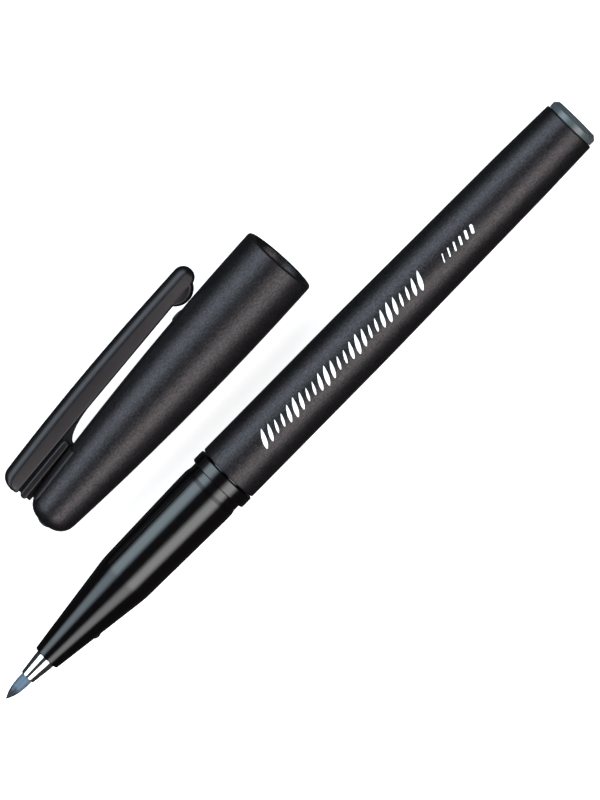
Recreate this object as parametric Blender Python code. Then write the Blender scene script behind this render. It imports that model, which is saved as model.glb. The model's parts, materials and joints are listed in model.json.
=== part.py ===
"""A calligraphy brush pen lying beside its cap, as an assembly of separate pieces.

Units are metres, +Z is up, and everything rests on the plane z = 0. The pen points along X with its nib
towards -X. The cap lies on the +Y side with its mouth towards +X, the way it would go back on.
The origin is the bottom centre of the whole set.

Pen pieces are drawn in the pen's own frame: x = 0 at the nib tip, the axis along +X.
Cap pieces are drawn in the cap's own frame: x = 0 at the mouth, the closed end towards -X, the clip at +Y.
"""

import math

import bmesh
import bpy
from mathutils import Matrix, Vector

# ---- Lengths along the pen, from the nib tip
NIB_LENGTH = 0.0048
FERRULE_SHOWN = 0.004275
CONE_LENGTH = 0.017685
GRIP_SLEEVE_LENGTH = 0.01758
SNAP_BAND_LENGTH = 0.00347
COLLAR_WIDTH = 0.00207
BARREL_STRAIGHT = 0.0298
BARREL_TAPER = 0.0469
TAIL_TAPER = 0.0107
PLUG_HEAD_LENGTH = 0.00155

# ---- Pen radii
NIB_RADIUS = 0.00103
NIB_POINT_RADIUS = 0.00006
NIB_STEM_RADIUS = 0.00080
FERRULE_LIP_WALL = 0.00015
FERRULE_FLARE = 0.00050
NOSE_WALL = 0.00045
BARREL_RADIUS = 0.00531
SHOULDER_DROP = 0.000365
TAIL_RADIUS = 0.00470
PLUG_STEP = 0.00029
COLLAR_PROUD = 0.00007
COLLAR_STEP = 0.00038
SNAP_BAND_RECESS = 0.00020
SLEEVE_TAPER = 0.00038

# ---- Walls, depths and clearances of the pen
FIT_GAP = 0.00010
SEAM_GAP = 0.00025
NIB_CLEARANCE = 0.00007
EDGE_ROUND = 0.00015
BARREL_WALL = 0.0010
SPIGOT_WALL = 0.0006
SPIGOT_LENGTH = 0.0085
FERRULE_DEPTH = 0.0070
NIB_SOCKET_DEPTH = 0.0013
NIB_STEM_IN_CORE = 0.0080
CAVITY_FRONT = 0.0055
CAVITY_SHOULDER = 0.0015
CORE_END_ROOM = 0.0008
SHEATH_WALL = 0.00018
SHEATH_CLEARANCE = 0.00015
SHEATH_SHORTER = 0.0010
PLUG_SPIGOT_LENGTH = 0.0068
PLUG_WALL = 0.0009
PLUG_CHAMFER = 0.0006
VENT_NUB_FROM_NOSE = 0.0083
VENT_NUB_HALF_LENGTH = 0.00075
VENT_NUB_HALF_WIDTH = 0.00035
VENT_NUB_HEIGHT = 0.00022

# ---- Cap
CAP_RIM_WALL = 0.00134
CAP_WALL = 0.00095
CAP_END_WALL = 0.0029
CAP_STRAIGHT = 0.0024
CAP_CURVE_RADIUS = 0.532
CAP_END_ROUND = 0.0030
CAP_RIM_ROUND = 0.00045
CAP_LEAD_IN = 0.0003
CAP_SNAP_GRIP = 0.00005
CAP_PAD_DEPTH = 0.0175
CAP_PAD_HEIGHT = 0.00022
CAP_PAD_LENGTH = 0.0020
CAP_PAD_WIDTH = 0.0022
NIB_ROOM = 0.00452
LINER_FRONT_DEPTH = 0.0290
LINER_WALL = 0.00075
LINER_END_WALL = 0.0009
LINER_LIP_LENGTH = 0.0008
BUTTON_RADIUS = 0.00130
BUTTON_STEM_RADIUS = 0.0008
BUTTON_PROUD = 0.00042
BUTTON_SEAT = 0.0005

# ---- Clip
CLIP_WIDTH = 0.0037
CLIP_INNER_WIDTH = 0.0026
CLIP_STANDOFF = 0.00482
CLIP_UNDERSIDE = 0.00125
CLIP_INNER_SLOPE = 0.0366
CLIP_BACK_CURVE_RADIUS = 0.449
CLIP_FLAT_DEPTH = 0.0190
CLIP_TIP_DEPTH = 0.0106
CLIP_FROM_CAP_END = 0.0006
CLIP_BACK_CORNER = 0.0019
CLIP_INNER_CORNER = 0.0004
CLIP_SIDE_CORNER = 0.0005
CLIP_TIP_LEAST = 0.12
CLIP_BALL_DEPTH = 0.0145
CLIP_BALL_RADIUS = 0.00285
CLIP_BALL_WIDTH = 0.0025
CLIP_BALL_GAP = 0.00012
CLIP_FOOT_LENGTH = 0.0199
CLIP_SPLIT_GAP = 0.0003
CLIP_BOX_CORNER = 0.0003
WEB_WIDTH = 0.0017
WEB_LENGTH = 0.0113
WEB_FROM_CLIP_END = 0.0006
WEB_FILLET_LENGTH = 0.0078
FIN_WIDTH = 0.0034
FIN_HEIGHT = 0.00130
FIN_GAP = 0.00040
FIN_LENGTH = 0.0115
FIN_FROM_CLIP_END = 0.0002
FIN_SLOPE = 0.045
SADDLE_HALF_ANGLE = 41.5
SADDLE_PROUD = 0.00035
SADDLE_SUNK = 0.0003
SADDLE_LENGTH = 0.0102
SADDLE_FROM_CLIP_END = 0.0013
KEY_LENGTH = 0.0080
KEY_WIDTH = 0.0014
KEY_DEPTH = 0.00045

# ---- Where the cap lies beside the pen
CAP_MOUTH_FROM_TIP = 0.0801
PEN_TO_CAP = 0.00592
CAP_YAW = math.radians(2.48)
CAP_BALANCE_DEPTH = 0.0300

# ---- Facets round each piece
SEGMENTS = 40
SMALL_SEGMENTS = 28

# ---- Stations along the pen that follow from its lengths
FERRULE_MOUTH = NIB_LENGTH
NOSE = FERRULE_MOUTH + FERRULE_SHOWN
CREASE = NOSE + CONE_LENGTH
SNAP_BAND = CREASE + GRIP_SLEEVE_LENGTH
COLLAR = SNAP_BAND + SNAP_BAND_LENGTH
COLLAR_END = COLLAR + COLLAR_WIDTH
BARREL_FRONT = COLLAR_END + SEAM_GAP
TAPER_START = BARREL_FRONT + BARREL_STRAIGHT
BARREL_END = TAPER_START + BARREL_TAPER
TAIL_SHOULDER = BARREL_END - TAIL_TAPER
PLUG_HEAD = BARREL_END + FIT_GAP
PEN_LENGTH = PLUG_HEAD + PLUG_HEAD_LENGTH
SPIGOT_END = COLLAR_END + SPIGOT_LENGTH
CAVITY_START = CREASE + CAVITY_FRONT
CORE_START = CAVITY_START + CORE_END_ROOM
CORE_END = BARREL_END - PLUG_SPIGOT_LENGTH - CORE_END_ROOM

# ---- Radii that follow from what they fit
NIB_SOCKET_RADIUS = NIB_RADIUS + NIB_CLEARANCE
FERRULE_MOUTH_RADIUS = NIB_SOCKET_RADIUS + FERRULE_LIP_WALL
FERRULE_RADIUS = FERRULE_MOUTH_RADIUS + FERRULE_FLARE
STEM_PASSAGE_RADIUS = NIB_STEM_RADIUS + FIT_GAP
NOSE_RADIUS = FERRULE_RADIUS + FIT_GAP + NOSE_WALL
COLLAR_RADIUS = BARREL_RADIUS + COLLAR_PROUD
SLEEVE_RADIUS = COLLAR_RADIUS - COLLAR_STEP
SNAP_BAND_RADIUS = SLEEVE_RADIUS - SNAP_BAND_RECESS
CREASE_RADIUS = SLEEVE_RADIUS - SLEEVE_TAPER
SPIGOT_RADIUS = BARREL_RADIUS - BARREL_WALL - FIT_GAP
TAIL_BORE_RADIUS = TAIL_RADIUS - BARREL_WALL
PLUG_RADIUS = TAIL_RADIUS - PLUG_STEP
PLUG_SPIGOT_RADIUS = TAIL_BORE_RADIUS - FIT_GAP
CAVITY_RADIUS = min(SPIGOT_RADIUS - SPIGOT_WALL, TAIL_BORE_RADIUS)
SHEATH_OUTER = CAVITY_RADIUS - SHEATH_CLEARANCE
SHEATH_INNER = SHEATH_OUTER - SHEATH_WALL
RESERVOIR_RADIUS = SHEATH_INNER - 0.6 * FIT_GAP
SNAP_LAND_RADIUS = SLEEVE_RADIUS + FIT_GAP
CAP_MOUTH_RADIUS = SNAP_LAND_RADIUS + CAP_RIM_WALL

# ---- The step down from the grip sleeve, as shares of the snap band
STEP_START = 0.44
STEP_FINISH = 0.66

# ---- The cap's length takes in the whole front of the pen, up to the collar
CAP_LENGTH = COLLAR + NIB_ROOM + LINER_END_WALL + FIT_GAP + CAP_END_WALL
CLIP_REACH = CAP_MOUTH_RADIUS + CLIP_STANDOFF
CLIP_END_DEPTH = CAP_LENGTH - CLIP_FROM_CAP_END
CLIP_SPLIT_DEPTH = CLIP_END_DEPTH - CLIP_FOOT_LENGTH


# ---- Scene and mesh helpers


def clear_scene():
    for thing in list(bpy.data.objects):
        bpy.data.objects.remove(thing, do_unlink=True)


def material(name, color, roughness, metallic=0.0):
    made = bpy.data.materials.get(name) or bpy.data.materials.new(name)
    made.use_nodes = True
    shader = made.node_tree.nodes["Principled BSDF"]
    shader.inputs["Base Color"].default_value = (*color, 1.0)
    shader.inputs["Roughness"].default_value = roughness
    shader.inputs["Metallic"].default_value = metallic
    return made


def matte_black():
    return material("matte_black", (0.022, 0.021, 0.023), 0.42)


def gloss_black():
    return material("gloss_black", (0.008, 0.007, 0.007), 0.16)


def ink_grey():
    return material("ink_grey", (0.13, 0.16, 0.17), 0.30)


def placed(name, mesh, frame):
    """An object on a frame, with its mesh drawn from the pen's or the cap's own origin."""
    made = bpy.data.objects.new(name, mesh)
    bpy.context.collection.objects.link(made)
    made.parent = frame
    if frame.parent:
        made.location = -frame.location
    return made


def new_object(name, mesh, frame, finish):
    made = placed(name, mesh, frame)
    made.data.materials.append(finish)
    return made


def mesh_from(bm, name):
    """A mesh of what bm holds, with its faces pointing out and its round faces shaded smooth."""
    bmesh.ops.recalc_face_normals(bm, faces=bm.faces)
    mesh = bpy.data.meshes.new(name)
    bm.to_mesh(mesh)
    bm.free()
    mesh.shade_smooth()
    mesh.set_sharp_from_angle(angle=math.radians(30))
    return mesh


def turned_mesh(name, outline, segments=SEGMENTS):
    """The closed outline of (x, radius) points, spun once round the X axis."""
    bm = bmesh.new()
    points = [bm.verts.new((x, 0.0, radius)) for x, radius in outline]
    open_ended = outline[0][1] == 0.0 and outline[-1][1] == 0.0
    pairs = list(zip(points, points[1:], strict=False))
    if not open_ended:
        pairs.append((points[-1], points[0]))
    edges = [bm.edges.new(pair) for pair in pairs]
    bmesh.ops.spin(
        bm, geom=points + edges, cent=(0, 0, 0), axis=(1, 0, 0), angle=2 * math.pi, steps=segments
    )
    bmesh.ops.remove_doubles(bm, verts=bm.verts, dist=1e-7)
    return mesh_from(bm, name)


def lofted_mesh(name, rings):
    """Closed rings of points, each joined to the next, with a flat face over both ends."""
    bm = bmesh.new()
    loops = [[bm.verts.new(point) for point in ring] for ring in rings]
    count = len(rings[0])
    for near, far in zip(loops, loops[1:], strict=False):
        for i in range(count):
            j = (i + 1) % count
            bm.faces.new((near[i], near[j], far[j], far[i]))
    bm.faces.new(loops[0])
    bm.faces.new(reversed(loops[-1]))
    return mesh_from(bm, name)


def prism_mesh(name, outline, half_width):
    """The closed outline of (x, y) points, extruded to half_width on both sides of z = 0."""
    rings = [[(x, y, z) for x, y in outline] for z in (-half_width, half_width)]
    return lofted_mesh(name, rings)


def helper(name, mesh, frame):
    """A cutter or a shape to be joined, which is not a piece itself."""
    made = placed(name, mesh, frame)
    made.hide_render = True
    made.display_type = "WIRE"
    return made


def combine(target, other, operation):
    step = target.modifiers.new(f"{operation.lower()}_{other.name}", "BOOLEAN")
    step.operation = operation
    step.solver = "EXACT"
    step.object = other


def arc(centre, radius, start, end, steps):
    """Points on a circle from one angle to another, in degrees, both ends included."""
    angles = [math.radians(start + (end - start) * i / steps) for i in range(steps + 1)]
    return [(centre[0] + radius * math.cos(a), centre[1] + radius * math.sin(a)) for a in angles]


# ---- Shapes of the pen's own outlines


def nib_radius_at(x):
    """The brush tip's ogive: a fine point that swells to the full radius at the ferrule."""
    share = 1.0 - x / NIB_LENGTH
    return NIB_POINT_RADIUS + (NIB_RADIUS - NIB_POINT_RADIUS) * (1.0 - share**2.8)


def cone_radius_at(x):
    """The outside of the nose cone."""
    return NOSE_RADIUS + (CREASE_RADIUS - NOSE_RADIUS) * (x - NOSE) / CONE_LENGTH


def bore_radius_at(x):
    """The barrel's bore: straight, then one even taper to a wall inside the tail."""
    share = min(max((x - TAPER_START) / BARREL_TAPER, 0.0), 1.0)
    return BARREL_RADIUS - BARREL_WALL + share * (TAIL_RADIUS - BARREL_RADIUS)


def make_nib_tip(pen):
    """The flexible brush point. Its back is half a ball about the point where it bends."""
    steps = 9
    front = [(0.0, 0.0)]
    front += [(NIB_LENGTH * i / steps, nib_radius_at(NIB_LENGTH * i / steps)) for i in range(steps + 1)]
    ball = arc((NIB_LENGTH, 0.0), NIB_RADIUS, 90, 0, 5)[1:-1]
    outline = front + ball + [(NIB_LENGTH + NIB_RADIUS, 0.0)]
    mesh = turned_mesh("nib_tip", outline, SMALL_SEGMENTS)
    new_object("nib_tip", mesh, pen, material("nib_fibre", (0.16, 0.22, 0.29), 0.55))


def make_nib_stem(pen):
    start = NIB_LENGTH + NIB_RADIUS + FIT_GAP
    end = CORE_START + NIB_STEM_IN_CORE
    outline = [(start, 0.0), (start, NIB_STEM_RADIUS), (end, NIB_STEM_RADIUS), (end, 0.0)]
    mesh = turned_mesh("nib_stem", outline, SMALL_SEGMENTS)
    new_object("nib_stem", mesh, pen, material("nib_fibre", (0.16, 0.22, 0.29), 0.55))


def make_ferrule(pen):
    """The bright cone that holds the nib: a socket for the nib's ball, then a bore for its stem."""
    sleeve_end = NOSE + FERRULE_DEPTH
    lip = 0.5 * FERRULE_LIP_WALL
    outline = [
        (FERRULE_MOUTH + NIB_SOCKET_DEPTH, NIB_SOCKET_RADIUS),
        (FERRULE_MOUTH + NIB_SOCKET_DEPTH, STEM_PASSAGE_RADIUS),
        (sleeve_end, STEM_PASSAGE_RADIUS),
        (sleeve_end, FERRULE_RADIUS),
        (NOSE - SEAM_GAP, FERRULE_RADIUS),
        (FERRULE_MOUTH + lip, FERRULE_MOUTH_RADIUS),
        (FERRULE_MOUTH, FERRULE_MOUTH_RADIUS - lip),
        (FERRULE_MOUTH, NIB_SOCKET_RADIUS),
    ]
    mesh = turned_mesh("nib_ferrule", outline, SMALL_SEGMENTS)
    new_object("nib_ferrule", mesh, pen, material("polished_steel", (0.78, 0.79, 0.80), 0.08, 1.0))


def make_grip_section(pen):
    """The gloss front: nose cone, grip sleeve, snap band, collar, and the spigot inside the barrel."""
    seat_end = NOSE + FERRULE_DEPTH + FIT_GAP
    seat = FERRULE_RADIUS + FIT_GAP
    outer = [
        (NOSE, NOSE_RADIUS - EDGE_ROUND),
        (NOSE + EDGE_ROUND, NOSE_RADIUS),
        (CREASE, CREASE_RADIUS),
        (SNAP_BAND, SLEEVE_RADIUS),
        (SNAP_BAND + STEP_START * SNAP_BAND_LENGTH, SLEEVE_RADIUS),
        (SNAP_BAND + STEP_FINISH * SNAP_BAND_LENGTH, SNAP_BAND_RADIUS),
        (COLLAR, SNAP_BAND_RADIUS),
        (COLLAR, COLLAR_RADIUS - EDGE_ROUND),
        (COLLAR + EDGE_ROUND, COLLAR_RADIUS),
        (COLLAR_END - EDGE_ROUND, COLLAR_RADIUS),
        (COLLAR_END, COLLAR_RADIUS - EDGE_ROUND),
        (COLLAR_END, SPIGOT_RADIUS),
        (SPIGOT_END - EDGE_ROUND, SPIGOT_RADIUS),
        (SPIGOT_END, SPIGOT_RADIUS - EDGE_ROUND),
    ]
    inner = [
        (SPIGOT_END, CAVITY_RADIUS),
        (CAVITY_START, CAVITY_RADIUS),
        (CAVITY_START - CAVITY_SHOULDER, STEM_PASSAGE_RADIUS),
        (seat_end, STEM_PASSAGE_RADIUS),
        (seat_end, seat),
        (NOSE, seat),
    ]
    section = new_object("grip_section", turned_mesh("grip_section", outer + inner), pen, gloss_black())
    combine(section, make_vent_nub(pen), "UNION")


def make_vent_nub(pen):
    """A small moulded nub on the -Y side of the nose cone, a low ellipsoid sunk half into it."""
    x = NOSE + VENT_NUB_FROM_NOSE
    size = (VENT_NUB_HALF_LENGTH, 2.0 * VENT_NUB_HEIGHT, VENT_NUB_HALF_WIDTH)
    bm = bmesh.new()
    bmesh.ops.create_uvsphere(bm, u_segments=12, v_segments=8, radius=1.0)
    bmesh.ops.scale(bm, vec=size, verts=bm.verts)
    bmesh.ops.translate(bm, vec=(x, VENT_NUB_HEIGHT - cone_radius_at(x), 0.0), verts=bm.verts)
    return helper("vent_nub", mesh_from(bm, "vent_nub"), pen)


def make_barrel(pen):
    """The barrel: straight, then a long slight taper, then a quicker one down to the tail plug."""
    outline = [
        (BARREL_FRONT, BARREL_RADIUS - EDGE_ROUND),
        (BARREL_FRONT + EDGE_ROUND, BARREL_RADIUS),
        (TAPER_START, BARREL_RADIUS),
        (TAIL_SHOULDER, BARREL_RADIUS - SHOULDER_DROP),
        (BARREL_END - EDGE_ROUND, TAIL_RADIUS),
        (BARREL_END, TAIL_RADIUS - EDGE_ROUND),
        (BARREL_END, bore_radius_at(BARREL_END)),
        (TAPER_START, bore_radius_at(TAPER_START)),
        (BARREL_FRONT, bore_radius_at(BARREL_FRONT)),
    ]
    new_object("barrel", turned_mesh("barrel", outline), pen, matte_black())


def make_tail_plug(pen):
    """The ink-coloured plug: a chamfered head outside, and a hollow spigot that closes the barrel."""
    spigot_start = BARREL_END - PLUG_SPIGOT_LENGTH
    hollow = PLUG_SPIGOT_RADIUS - PLUG_WALL
    outline = [
        (BARREL_END - PLUG_WALL, 0.0),
        (BARREL_END - PLUG_WALL, hollow),
        (spigot_start, hollow),
        (spigot_start, PLUG_SPIGOT_RADIUS - EDGE_ROUND),
        (spigot_start + EDGE_ROUND, PLUG_SPIGOT_RADIUS),
        (PLUG_HEAD, PLUG_SPIGOT_RADIUS),
        (PLUG_HEAD, PLUG_RADIUS),
        (PEN_LENGTH - PLUG_CHAMFER, PLUG_RADIUS),
        (PEN_LENGTH, PLUG_RADIUS - PLUG_CHAMFER),
        (PEN_LENGTH, 0.0),
    ]
    new_object("tail_plug", turned_mesh("tail_plug", outline), pen, ink_grey())


def make_reservoir(pen):
    """The ink-soaked fibre core, bored at the front for the nib's stem, and the film wrapped round it."""
    hole_end = CORE_START + NIB_STEM_IN_CORE + FIT_GAP
    core = [
        (hole_end, 0.0),
        (hole_end, STEM_PASSAGE_RADIUS),
        (CORE_START, STEM_PASSAGE_RADIUS),
        (CORE_START, RESERVOIR_RADIUS),
        (CORE_END, RESERVOIR_RADIUS),
        (CORE_END, 0.0),
    ]
    fibre = material("ink_fibre", (0.10, 0.12, 0.13), 0.95)
    new_object("reservoir_core", turned_mesh("reservoir_core", core, SMALL_SEGMENTS), pen, fibre)
    start = CORE_START + SHEATH_SHORTER
    end = CORE_END - SHEATH_SHORTER
    sheath = [(start, SHEATH_INNER), (start, SHEATH_OUTER), (end, SHEATH_OUTER), (end, SHEATH_INNER)]
    film = material("clear_film", (0.75, 0.77, 0.78), 0.25)
    new_object("reservoir_sheath", turned_mesh("reservoir_sheath", sheath, SMALL_SEGMENTS), pen, film)


# ---- The cap


def cap_radius_at(depth):
    """The outside of the cap at a depth from its mouth: straight, then one long arc."""
    past = max(depth - CAP_STRAIGHT, 0.0)
    return CAP_MOUTH_RADIUS - past * past / (2.0 * CAP_CURVE_RADIUS)


def cap_bore_at(depth):
    """The cap's bore: a straight land over the grip sleeve, then one wall inside the outside."""
    return min(SNAP_LAND_RADIUS, cap_radius_at(depth) - CAP_WALL)


def evenly(start, end, steps):
    return [start + (end - start) * i / steps for i in range(steps + 1)]


def snap_bead():
    """The bead in the cap's bore that drops behind the grip's step when the rim meets the collar."""
    first = (1.0 - STEP_START) * SNAP_BAND_LENGTH
    top = (1.0 - STEP_FINISH) * SNAP_BAND_LENGTH
    return [(-first, SNAP_LAND_RADIUS), (-top, SLEEVE_RADIUS - CAP_SNAP_GRIP), (-0.5 * top, SNAP_LAND_RADIUS)]


def make_cap_shell(cap):
    bore_end = CAP_LENGTH - CAP_END_WALL
    side_end = CAP_LENGTH - CAP_END_ROUND
    seat_depth = CAP_LENGTH - BUTTON_SEAT
    stem_hole = BUTTON_STEM_RADIUS + FIT_GAP
    seat = BUTTON_RADIUS + FIT_GAP
    rim = arc((-CAP_RIM_ROUND, CAP_MOUTH_RADIUS - CAP_RIM_ROUND), CAP_RIM_ROUND, 0, 90, 3)
    side = [(-depth, cap_radius_at(depth)) for depth in evenly(CAP_STRAIGHT, side_end, 9)]
    corner_centre = (-side_end, cap_radius_at(side_end) - CAP_END_ROUND)
    corner = arc(corner_centre, CAP_END_ROUND, 90, 180, 6)[1:]
    button_seat = [(-CAP_LENGTH, seat), (-seat_depth, seat), (-seat_depth, stem_hole), (-bore_end, stem_hole)]
    land_end = CAP_STRAIGHT + math.sqrt(2.0 * CAP_CURVE_RADIUS * (CAP_RIM_WALL - CAP_WALL))
    bore = [(-depth, cap_bore_at(depth)) for depth in evenly(bore_end, land_end, 6)]
    lead_in = [(-CAP_LEAD_IN, SNAP_LAND_RADIUS), (0.0, SNAP_LAND_RADIUS + CAP_LEAD_IN)]
    outline = rim + side + corner + button_seat + bore + snap_bead() + lead_in
    shell = new_object("cap_shell", turned_mesh("cap_shell", outline), cap, matte_black())
    combine(shell, make_cap_pad(cap), "UNION")
    combine(shell, make_key("clip_key_pocket", cap, FIT_GAP), "DIFFERENCE")


def make_cap_pad(cap):
    """The low raised pad on the cap, just behind where the clip's ball comes down."""
    surface = cap_radius_at(CAP_PAD_DEPTH)
    half = 0.5 * CAP_PAD_LENGTH
    foot = surface - 0.4 * CAP_WALL
    top = surface + CAP_PAD_HEIGHT
    outline = [
        (-CAP_PAD_DEPTH - half, foot),
        (-CAP_PAD_DEPTH - half, surface),
        (-CAP_PAD_DEPTH - 0.5 * half, top),
        (-CAP_PAD_DEPTH + 0.5 * half, top),
        (-CAP_PAD_DEPTH + half, surface),
        (-CAP_PAD_DEPTH + half, foot),
    ]
    return helper("cap_pad", prism_mesh("cap_pad", outline, 0.5 * CAP_PAD_WIDTH), cap)


def make_inner_cap(cap):
    """The liner cup. Its lip comes down round the nose cone and keeps the nib from drying."""
    end = CAP_LENGTH - CAP_END_WALL - FIT_GAP
    cup_end = end - LINER_END_WALL
    lip_end = LINER_FRONT_DEPTH + LINER_LIP_LENGTH
    lip_radius = cone_radius_at(COLLAR - LINER_FRONT_DEPTH) + FIT_GAP

    def outside(depth):
        return cap_bore_at(depth) - FIT_GAP

    def inside(depth):
        return outside(depth) - LINER_WALL

    outline = [(-cup_end, 0.0)]
    outline += [(-depth, inside(depth)) for depth in evenly(cup_end, lip_end, 5)]
    outline += [(-lip_end, lip_radius), (-LINER_FRONT_DEPTH, lip_radius)]
    outline += [(-depth, outside(depth)) for depth in evenly(LINER_FRONT_DEPTH, end, 5)]
    outline += [(-end, 0.0)]
    white = material("liner_white", (0.62, 0.63, 0.62), 0.45)
    new_object("inner_cap", turned_mesh("inner_cap", outline), cap, white)


def make_colour_button(cap):
    """The domed grey button in the cap's closed end, on a stem that passes through the wall."""
    seat_depth = CAP_LENGTH - BUTTON_SEAT + FIT_GAP
    stem_end = CAP_LENGTH - CAP_END_WALL + FIT_GAP
    dome_radius = (BUTTON_RADIUS**2 + BUTTON_PROUD**2) / (2.0 * BUTTON_PROUD)
    dome_centre = -(CAP_LENGTH + BUTTON_PROUD) + dome_radius
    half_angle = math.degrees(math.asin(BUTTON_RADIUS / dome_radius))
    dome = arc((dome_centre, 0.0), dome_radius, 180 - half_angle, 180, 4)[:-1]
    outline = [(-stem_end, 0.0), (-stem_end, BUTTON_STEM_RADIUS), (-seat_depth, BUTTON_STEM_RADIUS)]
    outline += [(-seat_depth, BUTTON_RADIUS), *dome, (-CAP_LENGTH - BUTTON_PROUD, 0.0)]
    new_object("colour_button", turned_mesh("colour_button", outline, SMALL_SEGMENTS), cap, ink_grey())


# ---- The clip


def clip_back_at(depth):
    """The clip's outer edge: flat near the tip, then a long arc towards the closed end."""
    past = max(depth - CLIP_FLAT_DEPTH, 0.0)
    return CLIP_REACH - past * past / (2.0 * CLIP_BACK_CURVE_RADIUS)


def clip_inner_at(depth):
    """The clip's inner edge: a straight line that draws in towards the closed end."""
    return CAP_MOUTH_RADIUS + CLIP_UNDERSIDE - CLIP_INNER_SLOPE * max(depth - CLIP_BALL_DEPTH, 0.0)


def bar_section(depth, back, inner, half):
    """One cross-section of the clip's bar: a round back, and sides that draw in towards a flat inner face."""
    inner_half = half * CLIP_INNER_WIDTH / CLIP_WIDTH
    crown = min(half, 0.6 * (back - inner))
    corner = min(CLIP_BOX_CORNER, 0.2 * (back - inner))
    turns = [math.radians(90.0 - 22.5 * i) for i in range(9)]
    points = [(back - crown + crown * math.cos(a), half * math.sin(a)) for a in turns]
    points += [(inner + corner, -inner_half), (inner, corner - inner_half)]
    points += [(inner, inner_half - corner), (inner + corner, inner_half)]
    return [(-depth, y, z) for y, z in points]


def tip_section(depth):
    """The bar near its tip, which rounds off evenly on every side."""
    inside = min((depth - CLIP_TIP_DEPTH) / (0.5 * CLIP_WIDTH), 1.0)
    share = CLIP_TIP_LEAST + (1.0 - CLIP_TIP_LEAST) * math.sqrt(max(1.0 - (1.0 - inside) ** 2, 0.0))
    middle = 0.5 * (clip_back_at(depth) + clip_inner_at(depth))
    reach = share * (clip_back_at(depth) - middle)
    return bar_section(depth, middle + reach, middle - reach, 0.5 * share * CLIP_WIDTH)


def corner_drop(depth, radius):
    """How far a rounded corner at the clip's closed end has drawn in at a depth."""
    past = min(max(depth - CLIP_END_DEPTH + radius, 0.0), radius)
    return radius - math.sqrt(radius**2 - past**2)


def root_section(depth):
    """The bar near the cap's closed end: a wide round on its back, small ones on its other edges."""
    back = clip_back_at(depth) - corner_drop(depth, CLIP_BACK_CORNER)
    inner = clip_inner_at(depth) + corner_drop(depth, CLIP_INNER_CORNER)
    return bar_section(depth, back, inner, 0.5 * CLIP_WIDTH - corner_drop(depth, CLIP_SIDE_CORNER))


def round_depths(end_depth, length, direction, steps):
    """Depths that crowd towards a rounded end, from where the rounding begins to the end itself."""
    shares = [1.0 - math.cos(math.radians(90.0 * i / steps)) for i in range(steps, -1, -1)]
    return [end_depth + direction * length * share for share in shares]


def make_clip_arm(clip):
    """The free, springing length of the clip, with its round tip and the ball that presses on the cap."""
    start = CLIP_SPLIT_DEPTH - 0.5 * CLIP_SPLIT_GAP
    tip_round = 0.5 * CLIP_WIDTH
    straight = evenly(start, CLIP_TIP_DEPTH + tip_round, 6)[:-1]
    depths = straight + round_depths(CLIP_TIP_DEPTH, tip_round, 1.0, 6)
    mesh = lofted_mesh("clip_arm", [tip_section(depth) for depth in depths])
    arm = new_object("clip_arm", mesh, clip, matte_black())
    combine(arm, make_clip_ball(clip), "UNION")


def make_clip_ball(clip):
    """The rounded heel under the clip's tip, down to a hair above the cap."""
    low = cap_radius_at(CLIP_BALL_DEPTH) + CLIP_BALL_GAP
    outline = arc((-CLIP_BALL_DEPTH, low + CLIP_BALL_RADIUS), CLIP_BALL_RADIUS, 205, 335, 9)
    made = helper("clip_ball", prism_mesh("clip_ball", outline, 0.5 * CLIP_BALL_WIDTH), clip)
    round_edges(made, 0.2 * CLIP_BALL_WIDTH, 80)
    return made


def round_edges(made, width, angle):
    edge = made.modifiers.new("edge", "BEVEL")
    edge.width = width
    edge.segments = 2
    edge.limit_method = "ANGLE"
    edge.angle_limit = math.radians(angle)


def make_key(name, cap, grown):
    """The key on the clip's foot or, with a clearance grown round it, the pocket for it in the cap."""
    middle = CLIP_END_DEPTH - WEB_FROM_CLIP_END - 0.5 * WEB_LENGTH
    half_length = 0.5 * KEY_LENGTH + grown
    low = cap_radius_at(middle) - KEY_DEPTH - grown
    high = cap_radius_at(middle) + 0.5 * FIN_HEIGHT
    outline = [
        (-middle - half_length, low),
        (-middle + half_length, low),
        (-middle + half_length, high),
        (-middle - half_length, high),
    ]
    return helper(name, prism_mesh(name, outline, 0.5 * KEY_WIDTH + grown), cap)


def make_fin(name, cap, low):
    """The flat fin of the clip's foot, nearly parallel to the bar, with rounded ends and edges."""
    half = 0.5 * FIN_HEIGHT
    end = CLIP_END_DEPTH - FIN_FROM_CLIP_END
    outline = arc((half - end, low + half), half, 270, 90, 6)
    outline += arc((FIN_LENGTH - end - half, low + half), half, 90, -90, 6)
    outline = [(x, y + FIN_SLOPE * (x + end)) for x, y in outline]
    made = helper(name, prism_mesh(name, outline, 0.5 * FIN_WIDTH), cap)
    round_edges(made, 0.25 * FIN_HEIGHT, 60)
    return made


def make_saddle(cap):
    """The thin saddle that spreads the clip's foot over the cap's side."""
    end = CLIP_END_DEPTH - SADDLE_FROM_CLIP_END
    rings = []
    for depth in evenly(end - SADDLE_LENGTH, end, 4):
        high = cap_radius_at(depth) + SADDLE_PROUD
        low = cap_radius_at(depth) - SADDLE_SUNK
        section = arc((0.0, 0.0), high, SADDLE_HALF_ANGLE, -SADDLE_HALF_ANGLE, 12)
        section += arc((0.0, 0.0), low, -SADDLE_HALF_ANGLE, SADDLE_HALF_ANGLE, 12)
        rings.append([(-depth, y, z) for y, z in section])
    return helper("clip_saddle", lofted_mesh("clip_saddle", rings), cap)


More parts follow.
